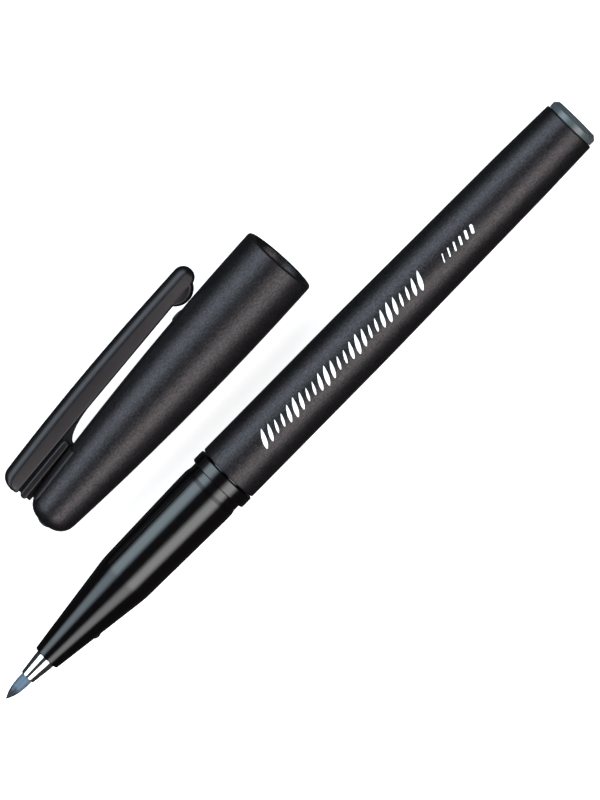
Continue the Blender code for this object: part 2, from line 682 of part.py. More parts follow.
def make_web(cap):
    """The narrow core of the clip's foot, with the fillet that sweeps forward under the bar."""
    end = CLIP_END_DEPTH - WEB_FROM_CLIP_END
    front = end - WEB_LENGTH
    foot = cap_radius_at(end) - 0.5 * CAP_WALL
    surface = cap_radius_at(front)
    bar_low = clip_inner_at(CLIP_SPLIT_DEPTH)
    inside_bar = bar_low + 0.3 * FIN_HEIGHT
    sweep = [math.radians(15.0 * i) for i in range(7)]
    rise = bar_low - surface
    fillet = [(WEB_FILLET_LENGTH * (1.0 - math.cos(a)) - front, surface + rise * math.sin(a)) for a in sweep]
    outline = [(-end, foot), (-front, foot), *fillet]
    outline += [(WEB_FILLET_LENGTH - front, inside_bar), (-end, clip_inner_at(end) + 0.3 * FIN_HEIGHT)]
    return helper("clip_web", prism_mesh("clip_web", outline, 0.5 * WEB_WIDTH), cap)


def make_cap_envelope(cap):
    """The cap's outside grown by the fit, which trims the clip's foot to sit on it."""
    outline = [(0.0, 0.0)]
    outline += [(-depth, cap_radius_at(depth) + FIT_GAP) for depth in evenly(0.0, CAP_LENGTH, 12)]
    outline += [(-CAP_LENGTH, 0.0)]
    return helper("cap_envelope", turned_mesh("cap_envelope", outline), cap)


def make_clip_foot(cap):
    """The fixed root of the clip: the end of the bar, a core, a fin, a saddle, and the key into the cap."""
    start = CLIP_SPLIT_DEPTH + 0.5 * CLIP_SPLIT_GAP
    straight = evenly(start, CLIP_END_DEPTH - CLIP_BACK_CORNER, 5)[:-1]
    depths = straight + round_depths(CLIP_END_DEPTH, CLIP_BACK_CORNER, -1.0, 7)
    mesh = lofted_mesh("clip_foot", [root_section(depth) for depth in depths])
    foot = new_object("clip_foot", mesh, cap, matte_black())
    fin_low = clip_inner_at(CLIP_END_DEPTH) - FIN_GAP - FIN_HEIGHT
    combine(foot, make_web(cap), "UNION")
    combine(foot, make_fin("clip_fin", cap, fin_low), "UNION")
    combine(foot, make_saddle(cap), "UNION")
    combine(foot, make_cap_envelope(cap), "DIFFERENCE")
    combine(foot, make_key("clip_key", cap, 0.0), "UNION")


# ---- Placing


def add_frame(name, matrix, parent=None):
    """An empty that carries the pieces of one body. An inner frame stands on its joint's axis."""
    made = bpy.data.objects.new(name, None)
    bpy.context.collection.objects.link(made)
    made.parent = parent
    made.matrix_basis = matrix
    return made


def pen_place():
    """The pen lies on its collar and on the end of the barrel's straight length, with its tail just clear."""
    dip = math.asin((COLLAR_RADIUS - BARREL_RADIUS) / (TAPER_START - COLLAR_END))
    height = COLLAR_RADIUS * math.cos(dip) + (COLLAR_END - EDGE_ROUND) * math.sin(dip)
    return Matrix.Translation((0.0, 0.0, height)) @ Matrix.Rotation(dip, 4, "Y")


def cap_place():
    """The cap lies on its curved side, balanced under its middle, turned a little from the pen."""
    dip = math.atan((CAP_BALANCE_DEPTH - CAP_STRAIGHT) / CAP_CURVE_RADIUS)
    height = CAP_BALANCE_DEPTH * math.sin(dip) + cap_radius_at(CAP_BALANCE_DEPTH) * math.cos(dip)
    aside = COLLAR_RADIUS + PEN_TO_CAP + CAP_MOUTH_RADIUS
    turn = Matrix.Rotation(CAP_YAW, 4, "Z") @ Matrix.Rotation(-dip, 4, "Y")
    return Matrix.Translation((CAP_MOUTH_FROM_TIP, aside, height)) @ turn


def centre_on_origin(frames):
    """Moves the whole set along X and Y, so that the middle of its box is over the origin."""
    bpy.context.view_layer.update()
    graph = bpy.context.evaluated_depsgraph_get()
    corners = []
    for piece in bpy.context.scene.objects:
        if piece.type == "MESH" and not piece.hide_render:
            placed = piece.evaluated_get(graph)
            corners += [placed.matrix_world @ vertex.co for vertex in placed.data.vertices]
    low = [min(corner[axis] for corner in corners) for axis in range(2)]
    high = [max(corner[axis] for corner in corners) for axis in range(2)]
    shift = Vector((-0.5 * (low[0] + high[0]), -0.5 * (low[1] + high[1]), 0.0))
    for frame in frames:
        frame.location += shift


def main():
    clear_scene()
    pen = add_frame("pen_frame", pen_place())
    cap = add_frame("cap_frame", cap_place())
    clip_middle = clip_back_at(CLIP_SPLIT_DEPTH) - 0.5 * CLIP_WIDTH
    clip = add_frame("clip_frame", Matrix.Translation((-CLIP_SPLIT_DEPTH, clip_middle, 0.0)), cap)
    nib = add_frame("nib_frame", Matrix.Translation((FERRULE_MOUTH, 0.0, 0.0)), pen)

    make_barrel(pen)
    make_tail_plug(pen)
    make_grip_section(pen)
    make_ferrule(pen)
    make_nib_stem(pen)
    make_reservoir(pen)
    make_nib_tip(nib)
    make_cap_shell(cap)
    make_inner_cap(cap)
    make_colour_button(cap)
    make_clip_foot(cap)
    make_clip_arm(clip)
    centre_on_origin([pen, cap])


main()
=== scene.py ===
"""The looks of a calligraphy brush pen and its clip cap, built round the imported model.

Everything is in metres. Pen pieces are drawn in the pen's own frame: x = 0 at the nib's tip, +X to the tail.
Cap pieces are drawn in the cap's own frame: x = 0 at the mouth, -X to the closed end, clip on the +Y side.
"""

import json
import math

import bmesh
import bpy
from mathutils import Matrix, Vector


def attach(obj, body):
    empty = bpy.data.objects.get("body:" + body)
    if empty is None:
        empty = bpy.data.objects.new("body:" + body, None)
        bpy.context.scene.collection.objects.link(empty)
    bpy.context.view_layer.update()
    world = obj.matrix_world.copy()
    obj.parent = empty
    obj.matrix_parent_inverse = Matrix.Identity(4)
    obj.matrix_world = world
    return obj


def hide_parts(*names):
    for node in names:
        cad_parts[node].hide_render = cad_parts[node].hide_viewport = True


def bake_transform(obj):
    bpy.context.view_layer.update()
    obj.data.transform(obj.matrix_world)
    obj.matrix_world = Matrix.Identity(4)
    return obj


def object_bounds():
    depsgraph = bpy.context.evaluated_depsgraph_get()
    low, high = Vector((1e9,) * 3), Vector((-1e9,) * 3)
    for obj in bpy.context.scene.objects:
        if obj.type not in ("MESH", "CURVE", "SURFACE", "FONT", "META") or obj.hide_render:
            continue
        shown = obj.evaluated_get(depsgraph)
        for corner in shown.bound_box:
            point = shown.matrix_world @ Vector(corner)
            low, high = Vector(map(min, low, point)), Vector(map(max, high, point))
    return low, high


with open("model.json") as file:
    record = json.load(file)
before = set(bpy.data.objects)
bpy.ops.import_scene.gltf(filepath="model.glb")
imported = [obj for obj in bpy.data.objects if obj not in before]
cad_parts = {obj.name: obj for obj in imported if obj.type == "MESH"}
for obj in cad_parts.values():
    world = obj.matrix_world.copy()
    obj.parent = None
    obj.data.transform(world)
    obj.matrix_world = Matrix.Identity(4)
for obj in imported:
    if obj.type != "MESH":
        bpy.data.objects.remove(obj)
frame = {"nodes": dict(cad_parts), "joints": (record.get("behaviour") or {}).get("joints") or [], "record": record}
CAD_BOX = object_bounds()

# ---- Fineness of the turned pieces
SEGMENTS = 144
SMALL_SEGMENTS = 72
CORNER_STEPS = 4
LEAST_TURN = math.radians(0.05)
SHARP_TURN = math.radians(25)
SOFT_CORNER = 0.0008
CORNER_SHARE = 0.48
SMOOTH_ANGLE = 40
PRINT_SMOOTH_ANGLE = 30

# ---- Edge roundings of the mouldings
MOULDED_EDGE = 0.00022
FINE_EDGE = 0.00006
SAME_POINT = 0.000003

# ---- Details of the grip's nose and of the cap
VENT_NUB_FROM_NOSE = 0.0083
VENT_NUB_SIZE = (0.00080, 0.00042, 0.00040)
VENT_NUB_SUNK = 0.00022
PAD_DEPTH = 0.0175
PAD_HEIGHT = 0.00021
PAD_LENGTH = 0.0021
PAD_WIDTH = 0.0023

# ---- Clip
CLIP_INNER_WIDTH = 0.0026
CLIP_UNDERSIDE = 0.00125
CLIP_INNER_SLOPE = 0.0366
CLIP_BACK_CURVE_RADIUS = 0.449
CLIP_FLAT_DEPTH = 0.0190
CLIP_BACK_CORNER = 0.0019
CLIP_INNER_CORNER = 0.0004
CLIP_SIDE_CORNER = 0.0005
CLIP_TIP_LEAST = 0.05
CLIP_EDGE = 0.0004
CLIP_CROWN_SHARE = 0.6
CLIP_EDGE_SHARE = 0.25
HEEL_DEPTH = 0.0145
HEEL_RADIUS = 0.00285
HEEL_WIDTH = 0.0025
HEEL_EDGE = 0.0007
HEEL_GAP = 0.00005
WEB_WIDTH = 0.0017
WEB_LENGTH = 0.0113
WEB_FROM_CLIP_END = 0.0006
WEB_FILLET_LENGTH = 0.0078
FIN_WIDTH = 0.0034
FIN_HEIGHT = 0.00130
WEB_OVERLAP = 0.3 * FIN_HEIGHT
FIN_EDGE = 0.00036
FIN_GAP = 0.00040
FIN_LENGTH = 0.0115
FIN_FROM_CLIP_END = 0.0002
FIN_SLOPE = 0.045
SADDLE_HALF_ANGLE = math.radians(41.5)
SADDLE_PROUD = 0.00033
SADDLE_SUNK = 0.0003
SADDLE_LENGTH = 0.0102
SADDLE_FROM_CLIP_END = 0.0013
SADDLE_EDGE = 0.10
SADDLE_END_EDGE = 0.6 * SADDLE_EDGE
SADDLE_LEAST_EDGE = 0.05
CLIP_SEAT_GAP = 0.0001
ENVELOPE_START = 0.0005
ENVELOPE_STOP = 0.0030
ENVELOPE_LAST = 0.0015
ENVELOPE_PAST = 0.0020

# ---- Printed marks on the barrel
PRINT_SUNK = 0.00001
PRINT_PROUD = 0.00002
MARK_FROM_TIP = 0.0584
MARK_RUN = 0.0349
MARK_COUNT = 26
MARK_BEATS = 5.0
MARK_LEAST = (0.0021, 0.00040)
MARK_MOST = (0.0033, 0.00074)
MARK_SLANT = math.radians(62)
MARK_AROUND = -0.00028
MARK_ROWS = 14
MARK_COLUMNS = 4
RULE_FROM_TIP = 0.0984
RULE_PITCH = 0.00128
RULE_COUNT = 6
RULE_LENGTH = 0.0015
RULE_FINEST = 0.00016
RULE_WIDER = 0.00007
RULE_AROUND = -0.00040

# ---- Camera and light
FRAME_HEIGHT = 0.1260
CAMERA_HEIGHT = 1.50
CAMERA_BEHIND_TAIL = 0.045
AIM_FROM_TIP = 0.06636
PEN_SLANT = math.radians(45.46)
SENSOR = 36.0
CLIP_NEAR = 0.01
CLIP_FAR = 50.0
LIGHT_DISTANCE = 0.95
LIGHT_LENGTH = 2.6
WHITE_WORLD = 1.0
DIM_WORLD = 0.035
FLOOR_SIZE = 12.0
FLOOR_GLOW = 0.88
FLOOR_DROP = 0.0002
SOFTBOX_STEPS = 4
SOFTBOX_FADE = 9.0
SOFTBOX_SPACING = 0.02
LEFT_SOFTBOX = (28.0, 68.0, (4.0, 4.9, 5.5))
RIGHT_SOFTBOX = (22.5, 60.0, (5.35, 5.4, 5.45))

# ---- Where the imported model's pieces are

JOINTS = {joint["name"]: joint for joint in frame["joints"]}
MOUNTS = {mount["name"]: mount for mount in frame["record"]["mounts"]}


def frame_matrix(origin, x_axis, z_axis):
    x = Vector(x_axis).normalized()
    y = Vector(z_axis).cross(x).normalized()
    turned = Matrix((x, y, x.cross(y))).transposed()
    return Matrix.Translation(origin) @ turned.to_4x4()


def points_in(node, place):
    """A node's vertices in the frame of its piece."""
    back = place.inverted()
    return [back @ vertex.co for vertex in frame["nodes"][node].data.vertices]


def pen_place():
    """The pen's frame: its axis from the tail's face, its roll from the nib's hinge."""
    tail = Vector(MOUNTS["tail_face"]["pos_m"])
    along = Vector(MOUNTS["tail_face"]["axis"]).normalized()
    up = along.cross(Vector(JOINTS["nib_flex"]["axis"]))
    length = max((tail - vertex.co).dot(along) for vertex in frame["nodes"]["nib_tip"].data.vertices)
    return frame_matrix(tail - length * along, along, up), length


def cap_place():
    """The cap's frame: its axes from the rim and the clip's hinge, its origin at the middle of the mouth."""
    along = MOUNTS["cap_rim"]["axis"]
    at_world = frame_matrix((0, 0, 0), along, JOINTS["clip_flex"]["axis"])
    points = points_in("cap_shell", at_world)
    mouth = max(point.x for point in points)
    rim = [point for point in points if mouth - point.x < FINE_EDGE]
    middle = [0.5 * (min(p[i] for p in rim) + max(p[i] for p in rim)) for i in (1, 2)]
    return frame_matrix(at_world @ Vector((mouth, *middle)), along, JOINTS["clip_flex"]["axis"])


PEN, PEN_LENGTH = pen_place()
CAP = cap_place()


def half_section(node, place):
    """The outline of a turned node, as (x, radius) points in order, read off the edges over its axis."""
    bm = bmesh.new()
    bm.from_mesh(frame["nodes"][node].data)
    bm.transform(place.inverted())
    bmesh.ops.remove_doubles(bm, verts=bm.verts, dist=SAME_POINT)
    kept = [v for v in bm.verts if abs(v.co.y) < SAME_POINT and v.co.z > -SAME_POINT]
    steps = {v: [e.other_vert(v) for e in v.link_edges if e.other_vert(v) in kept] for v in kept}
    ends = sorted((v for v in kept if len(steps[v]) == 1), key=lambda v: v.co.x)
    outline = [ends[0] if ends else min(kept, key=lambda v: (v.co.x, -v.co.z))]
    while True:
        following = [v for v in steps[outline[-1]] if v not in outline]
        if not following:
            break
        outline.append(max(following, key=lambda v: v.co.z))
    found = [(v.co.x, v.co.z if v.co.z > SAME_POINT else 0.0) for v in outline]
    bm.free()
    if ends and found[0][1] > 0.0:
        found.insert(0, (found[0][0], 0.0))
    if ends and found[-1][1] > 0.0:
        found.append((found[-1][0], 0.0))
    return found


# ---- Mesh helpers


def corner_points(before, corner, after, fillet):
    """The corner of an outline rounded off: a sharp one by the fillet, a shallow one over a soft length."""
    back, on = before - corner, after - corner
    turn = math.pi - back.angle(on, 0.0)
    if turn < LEAST_TURN:
        return [corner]
    if turn < SHARP_TURN:
        reach = SOFT_CORNER
    else:
        reach = fillet * math.tan(0.5 * turn)
    reach = min(reach, CORNER_SHARE * back.length, CORNER_SHARE * on.length)
    first = corner + back.normalized() * reach
    last = corner + on.normalized() * reach
    steps = [i / CORNER_STEPS for i in range(CORNER_STEPS + 1)]
    return [(1 - u) ** 2 * first + 2 * u * (1 - u) * corner + u * u * last for u in steps]


def rounded(outline, fillet):
    """The outline with every corner rounded. It runs from pole to pole, or closes on itself."""
    points = [Vector(point) for point in outline]
    open_ended = points[0].y == 0.0 and points[-1].y == 0.0
    made = []
    for i, corner in enumerate(points):
        if open_ended and i in (0, len(points) - 1):
            made.append(corner)
            continue
        after = points[(i + 1) % len(points)]
        made += corner_points(points[i - 1], corner, after, fillet)
    return [(point.x, point.y) for point in made]


def finished(bm, name, place, smooth_angle=SMOOTH_ANGLE):
    """An object of what bm holds, faces out, its round faces shaded smooth, standing in its own frame."""
    bmesh.ops.recalc_face_normals(bm, faces=bm.faces)
    mesh = bpy.data.meshes.new(name)
    bm.to_mesh(mesh)
    bm.free()
    mesh.shade_smooth()
    mesh.set_sharp_from_angle(angle=math.radians(smooth_angle))
    made = bpy.data.objects.new(name, mesh)
    bpy.context.scene.collection.objects.link(made)
    made.matrix_world = place
    return made


def turned(name, outline, place, segments=SEGMENTS):
    """The outline of (x, radius) points spun round its own X axis, with a fan of faces at each pole."""
    bm = bmesh.new()
    rings = []
    for x, radius in outline:
        count = segments if radius > 0.0 else 1
        angles = [2.0 * math.pi * i / segments for i in range(count)]
        rings.append([bm.verts.new((x, radius * math.sin(a), radius * math.cos(a))) for a in angles])
    pairs = list(zip(rings, rings[1:]))
    if outline[0][1] > 0.0:
        pairs.append((rings[-1], rings[0]))
    for near, far in pairs:
        for i in range(segments):
            j = (i + 1) % segments
            corners = (near[i % len(near)], near[j % len(near)], far[j % len(far)], far[i % len(far)])
            bm.faces.new(dict.fromkeys(corners))
    return finished(bm, name, place)


def lofted(name, sections, place):
    """Closed sections of points, each joined to the next, with a flat face over both ends."""
    bm = bmesh.new()
    loops = [[bm.verts.new(point) for point in section] for section in sections]
    count = len(sections[0])
    for near, far in zip(loops, loops[1:]):
        for i in range(count):
            j = (i + 1) % count
            bm.faces.new((near[i], near[j], far[j], far[i]))
    bm.faces.new(loops[0])
    bm.faces.new(reversed(loops[-1]))
    return finished(bm, name, place)


def prism(name, outline, half_width, place):
    """The closed outline of (x, y) points, extruded to half_width on both sides of z = 0."""
    return lofted(name, [[(x, y, z) for x, y in outline] for z in (-half_width, half_width)], place)


def pillow(name, outline_at, half_width, edge, place, steps=8):
    """A prism whose two rims are rounded off: outline_at gives its (x, y) outline drawn in by an inset."""
    quarter = [math.radians(90.0 * i / steps) for i in range(steps + 1)]
    side = [(half_width - edge + edge * math.sin(a), edge * (1.0 - math.cos(a))) for a in quarter]
    levels = [(-z, inset) for z, inset in reversed(side)] + side
    return lofted(name, [[(x, y, z) for x, y in outline_at(inset)] for z, inset in levels], place)


def apply_modifiers(made):
    """Bakes an object's modifiers into its mesh."""
    bpy.context.view_layer.update()
    evaluated = made.evaluated_get(bpy.context.evaluated_depsgraph_get())
    mesh = bpy.data.meshes.new_from_object(evaluated)
    made.modifiers.clear()
    made.data = mesh
    return made


def combined(made, others, operation="UNION"):
    """Joins other shapes into a piece, or cuts them out of it, and removes them."""
    for other in others:
        step = made.modifiers.new(other.name, "BOOLEAN")
        step.operation = operation
        step.solver = "EXACT"
        step.object = other
    apply_modifiers(made)
    for other in others:
        bpy.data.objects.remove(other)
    made.data.shade_smooth()
    made.data.set_sharp_from_angle(angle=math.radians(SMOOTH_ANGLE))
    return made


def arc(centre, radius, start, end, steps):
    """Points on a circle from one angle to another, in degrees, both ends included."""
    angles = [math.radians(start + (end - start) * i / steps) for i in range(steps + 1)]
    return [(centre[0] + radius * math.cos(a), centre[1] + radius * math.sin(a)) for a in angles]


def evenly(start, end, steps):
    return [start + (end - start) * i / steps for i in range(steps + 1)]


def radius_at(outline, x):
    """The outer radius of an outline at a station."""
    sloped = [(a, b) for a, b in zip(outline, outline[1:]) if a[0] != b[0]]
    spans = [(a, b) for a, b in sloped if min(a[0], b[0]) <= x <= max(a[0], b[0])]
    return max(a[1] + (b[1] - a[1]) * (x - a[0]) / (b[0] - a[0]) for a, b in spans)


# ---- Materials

# Stations along the pen, each from where a change in the reflection starts to where it is complete. Over the nose
# cone the lower reflection is painted shade, standing in for strip lights that fade along their length.
CONE_PAINTED_SHADE_END = (0.0262, 0.0272)
STEP_DIM_START = (0.04570, 0.04582)
STEP_DIM_END = (0.04638, 0.04650)
NIB_STAIN_END = (0.0015, 0.0029)
NIB_STAIN_RAGGED = 0.0004


def shader_material(name, color, roughness, metallic=0.0):
    """A Principled material and its node tree. The values that are the same all over are on the shader."""
    made = bpy.data.materials.new(name)
    made.use_nodes = True
    shader = made.node_tree.nodes["Principled BSDF"]
    shader.inputs["Base Color"].default_value = (*color, 1.0)
    shader.inputs["Roughness"].default_value = roughness
    shader.inputs["Metallic"].default_value = metallic
    return made, made.node_tree, shader


def coordinates(tree, stretch=(1.0, 1.0, 1.0)):
    """Object coordinates in metres, scaled along each axis."""
    source = tree.nodes.new("ShaderNodeTexCoord")
    mapping = tree.nodes.new("ShaderNodeMapping")
    mapping.inputs["Scale"].default_value = stretch
    tree.links.new(source.outputs["Object"], mapping.inputs["Vector"])
    return mapping.outputs["Vector"]


def noise(tree, vector, per_metre, detail=2.0, rough=0.5):
    node = tree.nodes.new("ShaderNodeTexNoise")
    node.inputs["Scale"].default_value = per_metre
    node.inputs["Detail"].default_value = detail
    node.inputs["Roughness"].default_value = rough
    tree.links.new(vector, node.inputs["Vector"])
    return node.outputs["Fac"]


def ranged(tree, value, low, high, out_low, out_high, smooth=False):
    """A value carried from one range to another, clamped at both ends."""
    node = tree.nodes.new("ShaderNodeMapRange")
    node.interpolation_type = "SMOOTHSTEP" if smooth else "LINEAR"
    for name, number in (("From Min", low), ("From Max", high), ("To Min", out_low), ("To Max", out_high)):
        node.inputs[name].default_value = number
    tree.links.new(value, node.inputs["Value"])
    return node.outputs["Result"]


def mixed(tree, share, first, second):
    """A colour between two, each a colour or another node's output."""
    node = tree.nodes.new("ShaderNodeMix")
    node.data_type = "RGBA"
    tree.links.new(share, node.inputs["Factor"])
    for name, color in (("A", first), ("B", second)):
        socket = [s for s in node.inputs if s.name == name and s.type == "RGBA"][0]
        if isinstance(color, tuple):
            socket.default_value = (*color, 1.0)
        else:
            tree.links.new(color, socket)
    return [s for s in node.outputs if s.type == "RGBA"][0]


def bump(tree, height, distance, strength=1.0, normal=None):
    node = tree.nodes.new("ShaderNodeBump")
    node.inputs["Strength"].default_value = strength
    node.inputs["Distance"].default_value = distance
    tree.links.new(height, node.inputs["Height"])
    if normal is not None:
        tree.links.new(normal, node.inputs["Normal"])
    return node.outputs["Normal"]


def matte_black():
    """Spark-textured moulding: a fine sand grain with a faint metallic fleck."""
    made, tree, shader = shader_material("matte_black", (0.0026, 0.0022, 0.0026), 0.38)
    shader.inputs["Specular Tint"].default_value = (1.0, 0.90, 0.925, 1.0)
    place = coordinates(tree)
    grain = noise(tree, place, 3300.0, 3.0, 0.7)
    fleck = ranged(tree, noise(tree, place, 5200.0, 1.0), 0.56, 0.70, 0.0, 1.0, smooth=True)
    patch = noise(tree, place, 420.0, 3.0)
    dark = mixed(tree, patch, (0.0024, 0.0018, 0.0022), (0.0036, 0.0031, 0.0036))
    tree.links.new(mixed(tree, fleck, dark, (0.0100, 0.0100, 0.0115)), shader.inputs["Base Color"])
    tree.links.new(ranged(tree, grain, 0.36, 0.64, 0.20, 0.46), shader.inputs["Specular IOR Level"])
    tree.links.new(ranged(tree, patch, 0.3, 0.7, 0.31, 0.37), shader.inputs["Roughness"])
    tree.links.new(bump(tree, grain, 0.000060), shader.inputs["Normal"])
    return made


def clip_black():
    """The clip's smoother satin moulding, with a barely visible flow of the plastic."""
    made, tree, shader = shader_material("clip_black", (0.0030, 0.0024, 0.0027), 0.36)
    shader.inputs["Specular IOR Level"].default_value = 0.33
    shader.inputs["Specular Tint"].default_value = (1.0, 0.92, 0.94, 1.0)
    place = coordinates(tree)
    patch = noise(tree, place, 700.0, 3.0)
    tree.links.new(ranged(tree, patch, 0.3, 0.7, 0.33, 0.39), shader.inputs["Roughness"])
    tree.links.new(bump(tree, noise(tree, place, 4200.0, 2.0), 0.000005), shader.inputs["Normal"])
    return made


def gloss_black():
    """Polished moulding with a few fine scuffs. Its reflection is painted darker over the nose cone as shade,
    where the strip lights fade along their length, and is lowered round the grip's step.
    """
    made, tree, shader = shader_material("gloss_black", (0.0014, 0.0010, 0.0012), 0.14)
    place = coordinates(tree)
    scuffs = noise(tree, coordinates(tree, (1.0, 5.0, 5.0)), 900.0, 4.0, 0.65)
    tree.links.new(ranged(tree, scuffs, 0.35, 0.75, 0.12, 0.19), shader.inputs["Roughness"])
    split = tree.nodes.new("ShaderNodeSeparateXYZ")
    tree.links.new(place, split.inputs["Vector"])
    station = split.outputs["X"]
    # Painted shade: the nose cone reflects less, standing in for the strip lights fading towards the nib.
    reflection_level = ranged(tree, station, *CONE_PAINTED_SHADE_END, 0.36, 0.50, smooth=True)
    on_step = ranged(tree, station, *STEP_DIM_START, 0.0, 0.22)
    off_step = ranged(tree, station, *STEP_DIM_END, 0.0, 0.22)
    for operation, change in (("SUBTRACT", on_step), ("ADD", off_step)):
        step = tree.nodes.new("ShaderNodeMath")
        step.operation = operation
        tree.links.new(reflection_level, step.inputs[0])
        tree.links.new(change, step.inputs[1])
        reflection_level = step.outputs[0]
    tree.links.new(reflection_level, shader.inputs["Specular IOR Level"])
    tree.links.new(bump(tree, noise(tree, place, 260.0, 1.0), 0.000010), shader.inputs["Normal"])
    return made


def ink_grey():
    """The satin grey of the tail plug and the cap's button, a little cloudy."""
    made, tree, shader = shader_material("ink_grey", (0.046, 0.056, 0.060), 0.30)
    place = coordinates(tree)
    cloud = noise(tree, place, 600.0, 3.0)
    color = mixed(tree, cloud, (0.040, 0.050, 0.054), (0.054, 0.064, 0.067))
    tree.links.new(color, shader.inputs["Base Color"])
    tree.links.new(ranged(tree, cloud, 0.3, 0.7, 0.26, 0.34), shader.inputs["Roughness"])
    tree.links.new(bump(tree, noise(tree, place, 3600.0, 2.0), 0.000006), shader.inputs["Normal"])
    return made


def polished_steel():
    """Drawn and polished metal with turning lines round it."""
    made, tree, shader = shader_material("polished_steel", (0.78, 0.79, 0.80), 0.10, 1.0)
    lines = noise(tree, coordinates(tree, (1.0, 0.02, 0.02)), 9000.0, 3.0)
    tree.links.new(ranged(tree, lines, 0.3, 0.7, 0.07, 0.15), shader.inputs["Roughness"])
    tree.links.new(mixed(tree, lines, (0.72, 0.73, 0.74), (0.84, 0.85, 0.86)), shader.inputs["Base Color"])
    tree.links.new(bump(tree, lines, 0.0000012), shader.inputs["Normal"])
    return made


def nib_fibre():
    """Fine fibres drawn to a point, blue-grey at the root and stained darker at the tip."""
    made, tree, shader = shader_material("nib_fibre", (0.06, 0.09, 0.13), 0.46)
    shader.inputs["Specular IOR Level"].default_value = 0.3
    place = coordinates(tree)
    along = tree.nodes.new("ShaderNodeSeparateXYZ")
    tree.links.new(coordinates(tree), along.inputs["Vector"])
    strands = noise(tree, coordinates(tree, (0.10, 1.0, 1.0)), 9000.0, 3.0)
    stain = tree.nodes.new("ShaderNodeMath")
    stain.operation = "ADD"
    tree.links.new(along.outputs["X"], stain.inputs[0])
    ragged = noise(tree, place, 1200.0, 2.0)
    tree.links.new(ranged(tree, ragged, 0.3, 0.7, -NIB_STAIN_RAGGED, NIB_STAIN_RAGGED), stain.inputs[1])
    depth = ranged(tree, stain.outputs[0], *NIB_STAIN_END, 0.0, 1.0, smooth=True)
    root = mixed(tree, strands, (0.050, 0.078, 0.112), (0.078, 0.112, 0.158))
    tree.links.new(mixed(tree, depth, (0.006, 0.008, 0.011), root), shader.inputs["Base Color"])
    tree.links.new(bump(tree, strands, 0.000012), shader.inputs["Normal"])
    return made


def ink_fibre():
    """Bonded fibre soaked with ink."""
    made, tree, shader = shader_material("ink_fibre", (0.05, 0.06, 0.07), 0.9)
    strands = noise(tree, coordinates(tree, (0.08, 1.0, 1.0)), 6000.0, 4.0)
    color = mixed(tree, strands, (0.02, 0.024, 0.028), (0.09, 0.10, 0.11))
    tree.links.new(color, shader.inputs["Base Color"])
    tree.links.new(bump(tree, strands, 0.00003), shader.inputs["Normal"])
    return made


def clear_film():
    """The thin film round the fibre core."""
    made, tree, shader = shader_material("clear_film", (0.75, 0.77, 0.78), 0.18)
    shader.inputs["Alpha"].default_value = 0.5
    creases = noise(tree, coordinates(tree, (0.3, 1.0, 1.0)), 500.0, 3.0)
    tree.links.new(ranged(tree, creases, 0.3, 0.7, 0.12, 0.26), shader.inputs["Roughness"])
    tree.links.new(bump(tree, creases, 0.00002), shader.inputs["Normal"])
    return made


def liner_white():
    """The plain off-white moulding of the cap's liner."""
    made, tree, shader = shader_material("liner_white", (0.62, 0.63, 0.62), 0.45)
    place = coordinates(tree)
    cloud = noise(tree, place, 300.0, 3.0)
    tree.links.new(mixed(tree, cloud, (0.58, 0.59, 0.58), (0.66, 0.67, 0.66)), shader.inputs["Base Color"])
    tree.links.new(ranged(tree, cloud, 0.3, 0.7, 0.40, 0.50), shader.inputs["Roughness"])
    tree.links.new(bump(tree, noise(tree, place, 3000.0, 2.0), 0.000005), shader.inputs["Normal"])
    return made


def print_white():
    """Pad-printed ink, slightly mottled where the grain below shows through."""
    made, tree, shader = shader_material("print_white", (0.80, 0.80, 0.79), 0.5)
    mottle = noise(tree, coordinates(tree), 6500.0, 2.0)
    tree.links.new(mixed(tree, mottle, (0.66, 0.67, 0.67), (0.90, 0.90, 0.89)), shader.inputs["Base Color"])
    tree.links.new(bump(tree, mottle, 0.000008), shader.inputs["Normal"])
    return made


MATERIALS = {
    make.__name__: make()
    for make in (
        matte_black,
        clip_black,
        gloss_black,
        ink_grey,
        polished_steel,
        nib_fibre,
        ink_fibre,
        clear_film,
        liner_white,
        print_white,
    )
}


def dressed(made, slot, body, *nodes):
    """Gives a piece its finish, its body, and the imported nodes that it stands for."""
    made.data.materials.clear()
    made.data.materials.append(MATERIALS[slot])
    if body:
        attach(made, body)
    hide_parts(*nodes)
    return made


# ---- The pen


def make_barrel():
    outline = rounded(half_section("barrel", PEN), MOULDED_EDGE)
    dressed(turned("barrel_shell", outline, PEN), "matte_black", "pen", "barrel")


def make_tail_plug():
    outline = rounded(half_section("tail_plug", PEN), FINE_EDGE)
    dressed(turned("tail_end", outline, PEN), "ink_grey", "pen", "tail_plug")


def make_grip():
    """The nose cone, sleeve, snap band and collar, with the moulded nub on the cone."""
    section = half_section("grip_section", PEN)
    body = turned("grip_and_nose", rounded(section, FINE_EDGE), PEN)
    x = section[0][0] + VENT_NUB_FROM_NOSE
    bm = bmesh.new()
    bmesh.ops.create_uvsphere(bm, u_segments=32, v_segments=16, radius=1.0)
    bmesh.ops.scale(bm, vec=VENT_NUB_SIZE, verts=bm.verts)
    bmesh.ops.translate(bm, vec=(x, VENT_NUB_SUNK - radius_at(section, x), 0.0), verts=bm.verts)
    dressed(combined(body, [finished(bm, "nub", PEN)]), "gloss_black", "pen", "grip_section")


def make_ferrule():
    outline = rounded(half_section("nib_ferrule", PEN), FINE_EDGE)
    dressed(turned("ferrule_cone", outline, PEN), "polished_steel", "pen", "nib_ferrule")


def make_nib():
    outline = rounded(half_section("nib_tip", PEN), FINE_EDGE)
    dressed(turned("brush_point", outline, PEN, SMALL_SEGMENTS), "nib_fibre", "nib", "nib_tip")


# ---- The cap


CAP_SECTION = half_section("cap_shell", CAP)


def cap_radius(depth):
    return radius_at(CAP_SECTION, -depth)


